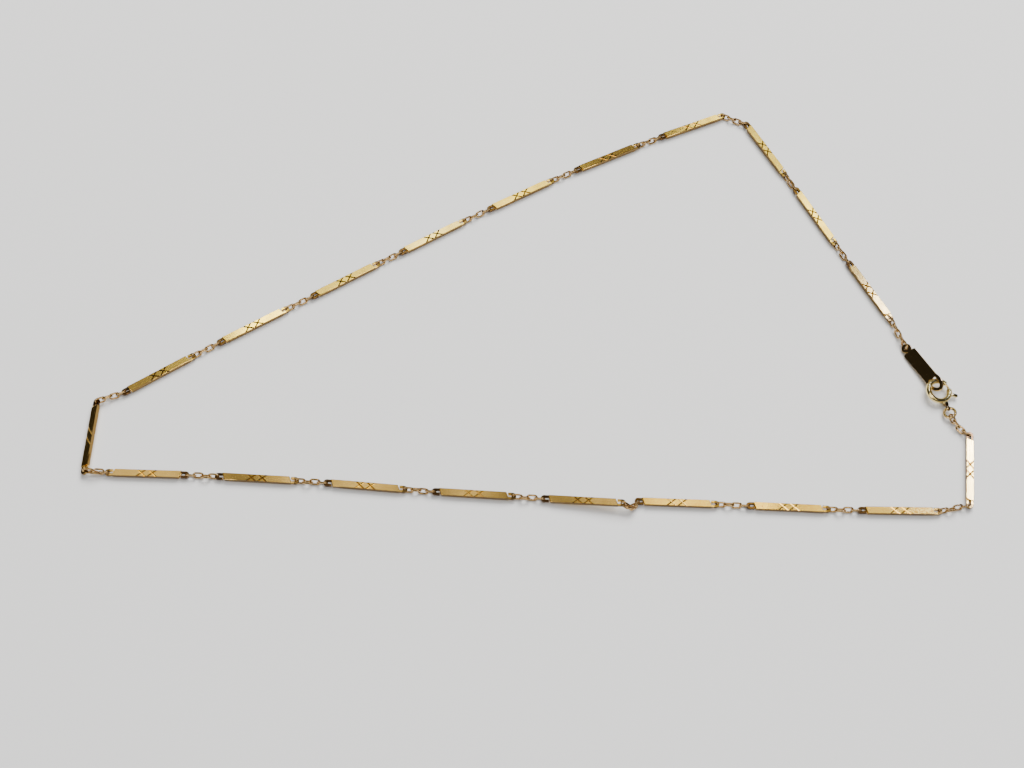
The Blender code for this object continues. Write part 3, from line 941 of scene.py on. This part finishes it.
@dataclass
class JumpRing:
    """The round ring between the spring ring's tail and the chain."""

    radius: float = 1.00
    wire_radius: float = 0.28
    hook: float = 0.48
    wire_sides: int = 16
    ring_steps: int = 56
    sharp_angle: float = 60.0

    def where(self, tail: Vector) -> Matrix:
        """Returns the ring's frame, with X pointing away from the clasp's tail."""
        form = NodeForm.of("jump_ring")
        axis = form.main_axes()[1]
        middle = Vector(np.unique(form.points().round(5), axis=0).mean(axis=0))
        away = middle - tail
        top = axis if axis.z > 0 else -axis
        return frame_of(middle, (away - axis * away.dot(axis)).normalized(), top)

    def build(self) -> bpy.types.Mesh:
        """Builds the ring."""
        section = round_section(self.wire_radius, self.wire_sides)
        ring = arc(self.radius, section, 0.0, WHOLE_TURN, self.ring_steps)
        return in_metres(ring, self.sharp_angle)

    def dress(self, spot: Matrix) -> None:
        """Adds the ring."""
        place("fine_jump_ring", self.build(), metric(spot), JUMP_GOLD, Body.NECKLACE, "jump_ring")

    def far_side(self, spot: Matrix) -> Vector:
        """Returns where the chain's run starts in the ring."""
        return spot @ Vector((self.radius - self.hook, 0.0, 0.0))


@dataclass
class Tag:
    """The bare plate with a small eye for the chain and a large one for the clasp."""

    length: float = 5.70
    lap: float = 0.95
    width: float = 2.50
    thickness: float = 0.40
    small_eye: float = 0.95
    eye_wall: float = 0.40
    eye_band: float = 0.70
    band_round: float = 0.10
    eye_width: float = 2.80
    eye_length: float = 4.20
    corner_length: float = 0.20
    corner_width: float = 0.40
    end_bow: float = 0.20
    edge_round: float = 0.05
    small_steps: int = 48
    large_steps: int = 64
    sharp_angle: float = 20.0

    def where(self, clasp: Vector) -> Matrix:
        """Returns the tag's frame at its small eye, with X towards the clasp."""
        form = NodeForm.of("tag")
        along, top = form.main_axes()
        if along.dot(clasp - form.middle()) < 0:
            along.negate()
        turn = frame_of(Vector(), along, top if top.z > 0 else -top)
        middle = form.middle(turn)
        start = (form.points() @ np.array(along)).min() + self.small_eye
        return Matrix.Translation(middle + along * (start - middle.dot(along))) @ turn

    def build(self) -> bpy.types.Mesh:
        """Builds the tag, from its small eye along +X.

        Returns:
            The mesh, in metres.
        """
        half, near, far = self.width / 2, self.small_eye, self.small_eye + self.length
        end = far + self.lap
        tip, root = near - self.corner_length, half - self.corner_width
        outline = [(tip, -root), (near, -half), (end, -half), (end + self.end_bow, 0.0),
                   (end, half), (near, half), (tip, root)]
        plate = softened(prism(outline, self.thickness), self.edge_round)
        band = flat_section(self.eye_band, self.thickness, self.band_round)
        small = arc(self.small_eye - self.eye_band / 2, band, 0.0, WHOLE_TURN, self.small_steps)
        reach, spread = (self.eye_length - self.eye_band) / 2, (self.eye_width - self.eye_band) / 2
        middle = far + self.eye_length / 2 - self.eye_wall
        turns = [WHOLE_TURN * i / self.large_steps for i in range(self.large_steps)]
        outward = [Vector((math.cos(a), math.sin(a), 0.0)) for a in turns]
        line = [Vector((middle + out.x * reach, out.y * spread, 0.0)) for out in outward]
        large = wire(line, outward, band, True)
        return in_metres(fused("UNION", plate, [small, large]), self.sharp_angle)

    def dress(self, spot: Matrix) -> None:
        """Adds the tag."""
        place("fine_tag", self.build(), metric(spot), TAG_GOLD, Body.NECKLACE, "tag")


@dataclass(frozen=True)
class Stop:
    """A bar of the loop, with the way that the links after it lean, and their bow."""

    bar: str
    lean: Lean
    bow: float = 0.0


@dataclass
class Chain:
    """The whole loop, with its bars in the order of travel."""

    stops: tuple[Stop, ...] = (
        Stop("bar_right", Lean.NEAR), Stop("bar_front_8", Lean.NEAR), Stop("bar_front_7", Lean.NEAR),
        Stop("bar_front_6", Lean.NEAR, 0.32), Stop("bar_front_5", Lean.NEAR),
        Stop("bar_front_4", Lean.NEAR), Stop("bar_front_3", Lean.NEAR),
        Stop("bar_front_2", Lean.TURNED), Stop("bar_front_1", Lean.NEAR), Stop("bar_left", Lean.FAR),
        *(Stop(f"bar_back_{n}", Lean.FAR) for n in range(1, 8)),
        *(Stop(f"bar_side_{n}", Lean.FAR) for n in range(1, 4)),
    )
    clasp_bow: float = -0.10
    bar: Bar = field(default_factory=Bar)
    run: CableRun = field(default_factory=CableRun)
    clasp: SpringRing = field(default_factory=SpringRing)
    ring: JumpRing = field(default_factory=JumpRing)
    tag: Tag = field(default_factory=Tag)

    def build(self) -> None:
        """Builds and places the whole necklace."""
        clasp = self.clasp.where()
        tag = self.tag.where(clasp.translation)
        ring = self.ring.where(clasp @ Vector((self.clasp.tail_hole, 0.0, 0.0)))
        bars = []
        for n, stop in enumerate(self.stops):
            onward = NodeForm.of(f"links_{n + 1:02d}").middle()
            bars.append(self.bar.where(stop.bar, onward))
        self.dress(bars, tag, clasp, ring)

    def dress(self, bars: Sequence[Matrix], tag: Matrix, clasp: Matrix, ring: Matrix) -> None:
        """Adds every fine piece.

        Args:
            bars: the frames of the bars, in the order of travel.
            tag: the tag's frame.
            clasp: the clasp's frame.
            ring: the jump ring's frame.
        """
        mesh = self.bar.build()
        reach = Vector((self.bar.pivot, 0.0, 0.0))
        for stop, spot in zip(self.stops, bars):
            self.bar.dress(stop.bar, mesh, spot)
        for n, stop in enumerate(self.stops):
            to_tag = n == len(self.stops) - 1
            pivot = bars[n] @ reach
            goal = tag.translation.copy() if to_tag else bars[n + 1] @ -reach
            first = self.run.hook(bars[n], pivot, goal)
            last = goal if to_tag else self.run.hook(bars[n + 1], goal, pivot)
            rolls = self.run.turns(stop.lean, to_tag)
            self.run.dress(f"links_{n + 1:02d}", self.run.build(rolls, first, last, stop.bow))
        start = self.ring.far_side(ring)
        rolls = self.run.turns(Lean.FAR, False)
        self.run.dress("links_clasp", self.run.build(rolls, start, bars[0] @ -reach, self.clasp_bow))
        self.clasp.dress(clasp)
        self.ring.dress(ring)
        self.tag.dress(tag)


# The studio


@dataclass(frozen=True)
class Card:
    """A bright card that shows in the polished metal, in slopes seen from the mirrored camera."""

    name: str
    across: float
    away: float
    wide: float
    deep: float
    glow: float
    tint: tuple[float, float, float]


WARM = (1.0, 0.92, 0.76)
GOLDEN = (1.0, 0.90, 0.40)
YELLOW = (0.96, 1.02, 0.50)
PALE = (0.96, 1.06, 0.88)
COOL = (0.90, 1.0, 1.6)
CARDS = (
    Card("broad", 0.0, 0.58, 0.9, 0.56, 0.2, WARM),
    Card("front_first", -0.27, 0.42, 0.08, 0.1, 0.8, WARM),
    Card("front_second", -0.16, 0.42, 0.03, 0.1, 1.1, WARM),
    Card("front_third", -0.107, 0.42, 0.045, 0.1, 0.95, WARM),
    Card("front_fourth", -0.03, 0.42, 0.025, 0.1, 1.0, WARM),
    Card("front_sixth", 0.125, 0.41, 0.06, 0.1, 2.2, GOLDEN),
    Card("front_seventh", 0.182, 0.41, 0.016, 0.1, 7.0, GOLDEN),
    Card("front_seventh_end", 0.23, 0.41, 0.024, 0.1, 2.2, GOLDEN),
    Card("front_eighth", 0.29, 0.41, 0.07, 0.1, 1.1, GOLDEN),
    Card("right", 0.372, 0.45, 0.04, 0.11, 40.0, COOL),
    Card("overhead", 0.1, 0.04, 0.34, 0.18, 7.5, WARM),
    Card("back_first", -0.252, 0.505, 0.03, 0.05, 0.9, YELLOW),
    Card("back_second", -0.192, 0.552, 0.045, 0.06, 9.0, YELLOW),
    Card("back_third", -0.129, 0.595, 0.055, 0.06, 2.2, YELLOW),
    Card("back_fourth", -0.067, 0.636, 0.06, 0.06, 4.5, PALE),
    Card("back_fifth", 0.004, 0.68, 0.07, 0.06, 3.5, YELLOW),
    Card("back_seventh", 0.163, 0.755, 0.03, 0.06, 5.0, YELLOW),
    Card("side_first", 0.215, 0.735, 0.05, 0.06, 2.2, YELLOW),
    Card("side_second", 0.25, 0.67, 0.05, 0.07, 6.0, YELLOW),
    Card("side_third", 0.3, 0.585, 0.04, 0.04, 16.0, COOL),
)


@dataclass(frozen=True)
class Panel:
    """A standing panel that faces the necklace and is seen in its metal only."""

    name: str
    place_mm: tuple[float, float, float]
    size: tuple[float, float]
    glow: float


PANELS = (
    Panel("left_glint", (-520.0, -460.0, 700.0), (0.36, 0.36), 6.0),
    Panel("back_left", (-850.0, 1250.0, 560.0), (1.3, 1.0), 0.45),
    Panel("front_right", (1000.0, -1100.0, 460.0), (1.4, 0.9), 0.45),
    Panel("back", (250.0, 1700.0, 380.0), (1.8, 0.8), 0.45),
    Panel("front", (0.0, -1700.0, 380.0), (1.8, 0.8), 0.30),
    Panel("right", (1700.0, 0.0, 380.0), (1.8, 0.8), 0.30),
)


@dataclass(frozen=True)
class Softbox:
    """A large soft light that faces the necklace and is seen on the table only."""

    name: str
    place_mm: tuple[float, float, float]
    size: tuple[float, float]
    power: float
    tint: tuple[float, float, float]


SOFTBOXES = (
    Softbox("key_softbox", (250.0, 800.0, 900.0), (0.9, 0.7), 32.0, (1.0, 0.99, 0.97)),
    Softbox("overhead_softbox", (350.0, 0.0, 1500.0), (2.4, 2.4), 41.0, (0.99, 0.99, 1.0)),
)


@dataclass
class Studio:
    """The table top, the camera and the lights."""

    eye: tuple[float, float, float] = (-3.865, -141.35, 241.09)
    lens: float = 50.98
    down: float = 63.108
    roll: float = 1.5636
    sensor: float = 36.0
    clip: tuple[float, float] = (0.005, 20.0)
    card_height: float = 800.0
    card_step: float = 6.0
    table_half: float = 3.0
    surround: tuple[float, float, float] = (0.03, 0.028, 0.026)
    softboxes: tuple[Softbox, ...] = SOFTBOXES
    cards: tuple[Card, ...] = CARDS
    panels: tuple[Panel, ...] = PANELS

    def build(self) -> None:
        """Adds the table top, the camera and the lights."""
        self.build_table()
        self.build_camera()
        for box in self.softboxes:
            self.light(box.name, box.place_mm, box.size, box.power, box.tint, False, True)
        for panel in self.panels:
            power = panel.glow * math.pi * panel.size[0] * panel.size[1]
            self.light(f"panel_{panel.name}", panel.place_mm, panel.size, power, WARM, True, True)
        # Cards at one height hide each other where they overlap, so each has its own.
        for level, card in enumerate(self.cards):
            self.card(card, self.card_height + level * self.card_step)
        world = bpy.data.worlds.new("studio")
        bpy.context.scene.world = world
        world.use_nodes = True
        world.node_tree.nodes["Background"].inputs["Color"].default_value = (*self.surround, 1.0)

    def build_table(self) -> None:
        """Adds the plain pale table top."""
        half = self.table_half
        mesh = bpy.data.meshes.new("table_top")
        corners = [(-half, -half, 0), (half, -half, 0), (half, half, 0), (-half, half, 0)]
        mesh.from_pydata(corners, [], [(0, 1, 2, 3)])
        mesh.materials.append(TABLE_FINISH.material())
        shown("table_top", mesh)

    def build_camera(self) -> None:
        """Adds the camera at the photograph's angle."""
        tilt, roll = math.radians(self.down), math.radians(self.roll)
        ahead = Vector((0.0, math.cos(tilt), -math.sin(tilt)))
        right, top = Vector((1.0, 0.0, 0.0)), Vector((0.0, math.sin(tilt), math.cos(tilt)))
        across = right * math.cos(roll) + top * math.sin(roll)
        data = bpy.data.cameras.new("camera")
        data.lens, data.sensor_width, data.sensor_fit = self.lens, self.sensor, "HORIZONTAL"
        data.clip_start, data.clip_end = self.clip
        camera = shown("camera", data)
        camera.matrix_world = frame_of(Vector(self.eye) * METRES, across, -ahead)
        bpy.context.scene.camera = camera

    def light(self, name: str, place_mm: tuple[float, float, float], size: tuple[float, float],
              power: float, tint: tuple[float, float, float], in_metal: bool, facing: bool) -> None:
        """Adds a soft area light.

        Args:
            name: the light's name.
            place_mm: its middle.
            size: its width and depth in metres.
            power: in watts.
            tint: its colour.
            in_metal: True for a card seen in the metal only, False for a light on the table only.
            facing: True to turn it to the necklace, False to leave it level.
        """
        data = bpy.data.lights.new(name, "AREA")
        data.shape, data.size, data.size_y = "RECTANGLE", *size
        data.energy, data.color = power, tint
        lamp, spot = shown(name, data), Vector(place_mm) * METRES
        lamp.matrix_world = Matrix.Translation(spot)
        if facing:
            lamp.matrix_world @= (-spot).to_track_quat("-Z", "Y").to_matrix().to_4x4()
        lamp.visible_camera = False
        lamp.visible_glossy = in_metal
        lamp.visible_diffuse = not in_metal

    def card(self, card: Card, height: float) -> None:
        """Adds one card, where the flat bars mirror it towards the camera."""
        rise = self.eye[2] + height
        spot = (self.eye[0] + rise * card.across, self.eye[1] + rise * card.away, height)
        size = (rise * METRES * card.wide, rise * METRES * card.deep)
        power = card.glow * math.pi * size[0] * size[1]
        self.light(f"card_{card.name}", spot, size, power, card.tint, True, False)


def main() -> None:
    """Builds the necklace and its studio."""
    logging.basicConfig(level=logging.INFO, format="%(name)s: %(message)s")
    Chain().build()
    Studio().build()


if __name__ == "__main__":
    main()
